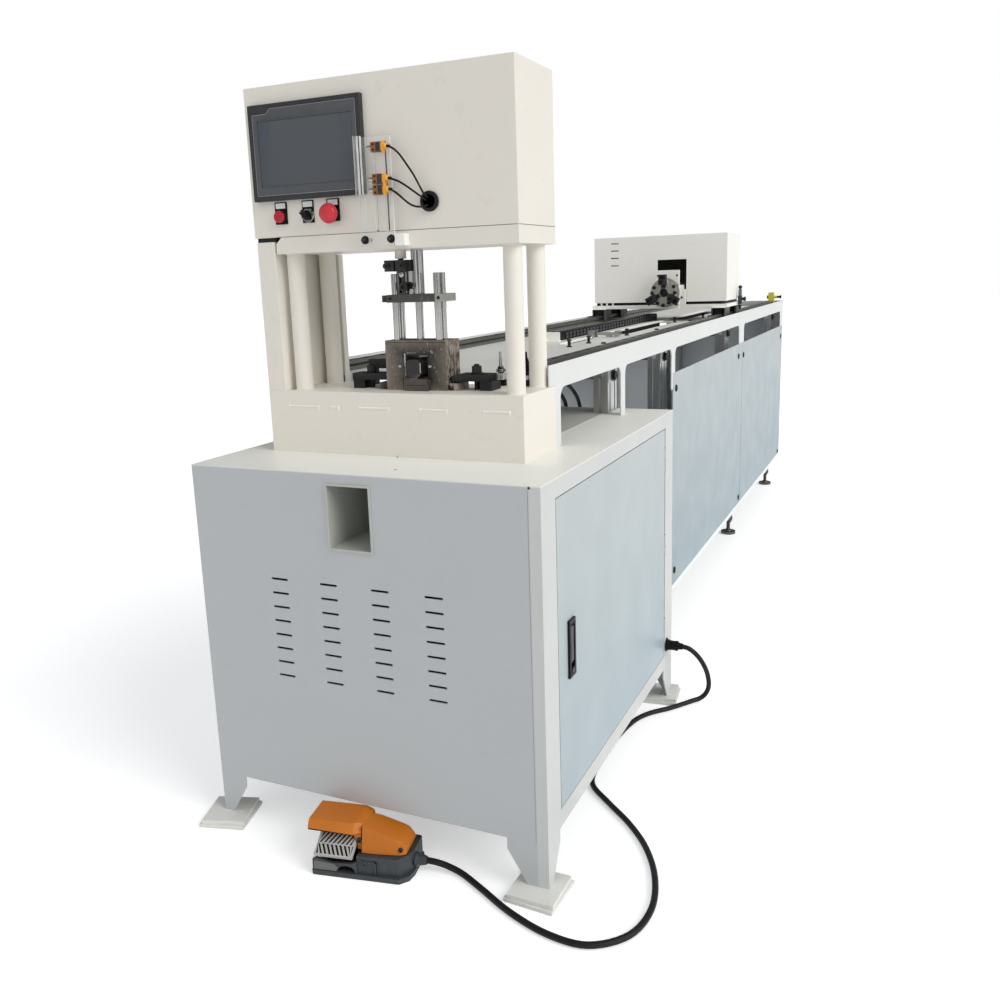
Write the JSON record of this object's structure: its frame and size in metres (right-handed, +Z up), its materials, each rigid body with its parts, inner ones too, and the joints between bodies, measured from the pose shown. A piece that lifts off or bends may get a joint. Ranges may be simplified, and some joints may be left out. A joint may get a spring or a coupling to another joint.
{
  "type": "cnc tube punching machine",
  "caption": "Tube punching machine: hydraulic punch head on a sheet-metal cabinet, long feeder bed with a chuck carriage on rails, and a foot pedal on a cable.",
  "frame": {"origin": "on the floor under the cabinet's front-left corner", "axes": "+X across the machine to the right, +Y from the operator's side to the rear along the feeder, +Z up"},
  "size_m": [1.0439, 3.9413, 1.585],
  "materials": {
    "white_paint": "satin white powder coat",
    "cream_paint": "satin cream paint",
    "black_plastic": "matte",
    "grey_plastic": "matte dark grey",
    "red_plastic": "gloss",
    "orange_plastic": "satin orange",
    "clear_plastic": "clear acrylic",
    "chrome": "polished chrome",
    "bright_steel": "zinc plated",
    "dark_steel": "oiled dark steel",
    "black_steel": "blackened",
    "rusty_steel": "brown oxidised",
    "aluminium": "anodised",
    "grey_cast": "grey paint on cast aluminium",
    "machine_blue": "semi gloss",
    "zinc_plate": "zinc plated",
    "yellow_rubber": "yellow polyurethane",
    "black_rubber": "black rubber"
  },
  "bodies": {
    "root": {"cabinet_body": "white_paint", "foot_plates": "white_paint", "slug_chute": "white_paint", "hinge_pins": "bright_steel", "cable_gland": "black_plastic", "hydraulic_unit": "machine_blue", "control_plate": "zinc_plate", "table_box": "white_paint", "side_duct": "white_paint", "columns": "cream_paint", "head_beam": "white_paint", "head_hood": "white_paint", "hydraulic_cylinder": "dark_steel", "die_block": "rusty_steel", "mandrel": "black_steel", "strap_clamps": "black_steel", "tube_sensors": "black_plastic", "hmi_panel": "grey_plastic", "button_bodies": "black_plastic", "sensor_bracket": "clear_plastic", "ram_sensors": "orange_plastic", "sensor_lead_top": "black_rubber", "sensor_lead_middle": "black_rubber", "sensor_lead_bottom": "black_rubber", "cable_grommet": "black_rubber", "side_beams": "white_paint", "base_frame": "white_paint", "profile_posts": "aluminium", "side_panels": "white_paint", "bed_plate": "white_paint", "rails_and_rack": "dark_steel", "cable_chain": "black_plastic", "support_bracket": "bright_steel", "levelling_feet": "bright_steel", "end_stops": "yellow_rubber", "pedal_base": "grey_cast", "pedal_cover": "orange_plastic", "pedal_cable": "black_rubber"},
    "ram": {"ram_rod": "chrome", "ram_collar": "black_steel", "punch_holder": "dark_steel", "top_plate": "dark_steel", "punch": "bright_steel", "guide_posts": "chrome"},
    "door": {"cabinet_door": "white_paint", "door_lock": "black_plastic"},
    "lock_lever": {"lock_lever": "grey_plastic"},
    "red_button": {"red_button": "red_plastic"},
    "selector": {"selector_knob": "black_plastic"},
    "estop": {"estop_head": "red_plastic"},
    "carriage": {"carriage_plate": "white_paint", "carriage_hood": "white_paint", "carriage_drive": "zinc_plate"},
    "pinion": {"drive_pinion": "bright_steel"},
    "chuck": {"chuck_body": "dark_steel"},
    "jaw_1": {"chuck_jaw_1": "dark_steel"},
    "jaw_2": {"chuck_jaw_2": "dark_steel"},
    "jaw_3": {"chuck_jaw_3": "dark_steel"},
    "support_arm": {"tube_support": "bright_steel"},
    "treadle": {"pedal_treadle": "aluminium"}
  },
  "joints": [
    {"name": "ram_slide", "type": "slide", "parent": "root", "child": "ram", "axis": [0, 0, -1], "range_m": [0, 0.05]},
    {"name": "door_hinge", "type": "hinge", "parent": "root", "child": "door", "pos_m": [0.789, 0.888, 0.465], "axis": [0, 0, 1], "range_deg": [0, 90]},
    {"name": "lock_lever_hinge", "type": "hinge", "parent": "door", "child": "lock_lever", "pos_m": [0.788, 0.144, 0.43], "axis": [0, 1, 0], "range_deg": [0, 35]},
    {"name": "red_button_press", "type": "slide", "parent": "root", "child": "red_button", "axis": [0, 1, 0], "range_m": [0, 0.004], "stiffness_N_per_m": 800, "springref_m": -0.001},
    {"name": "selector_turn", "type": "hinge", "parent": "root", "child": "selector", "pos_m": [0.213, 0.18, 1.323], "axis": [0, 1, 0], "range_deg": [0, 90]},
    {"name": "estop_press", "type": "slide", "parent": "root", "child": "estop", "axis": [0, 1, 0], "range_m": [0, 0.005], "stiffness_N_per_m": 1500, "springref_m": -0.001},
    {"name": "carriage_travel", "type": "slide", "parent": "root", "child": "carriage", "axis": [0, 1, 0], "range_m": [-1.75, 1.05]},
    {"name": "pinion_turn", "type": "hinge", "parent": "carriage", "child": "pinion", "pos_m": [0.5614, 2.61, 1], "axis": [0, 0, 1], "continuous": true},
    {"name": "chuck_spin", "type": "hinge", "parent": "carriage", "child": "chuck", "pos_m": [0.419, 2.36, 1.092], "axis": [0, 1, 0], "continuous": true},
    {"name": "jaw_1_slide", "type": "slide", "parent": "chuck", "child": "jaw_1", "axis": [0, 0, 1], "range_m": [-0.008, 0.004]},
    {"name": "jaw_2_slide", "type": "slide", "parent": "chuck", "child": "jaw_2", "axis": [0.866, 0, -0.5], "range_m": [-0.008, 0.004]},
    {"name": "jaw_3_slide", "type": "slide", "parent": "chuck", "child": "jaw_3", "axis": [-0.866, 0, -0.5], "range_m": [-0.008, 0.004]},
    {"name": "support_arm_lift", "type": "hinge", "parent": "root", "child": "support_arm", "pos_m": [0.392, 1.5, 0.986], "axis": [0, -1, 0], "range_deg": [0, 18]},
    {"name": "treadle_press", "type": "hinge", "parent": "root", "child": "treadle", "pos_m": [0.34541, -0.02619, 0.048], "axis": [0.9826, 0.1857, 0], "range_deg": [0, 6], "stiffness_Nm_per_rad": 4, "springref_deg": -8.59}
  ],
  "couplings": [
    {"joint": "pinion_turn", "follows": "carriage_travel", "rad_per_m": -45.45},
    {"joint": "jaw_2_slide", "follows": "jaw_1_slide", "ratio": 1},
    {"joint": "jaw_3_slide", "follows": "jaw_1_slide", "ratio": 1}
  ]
}
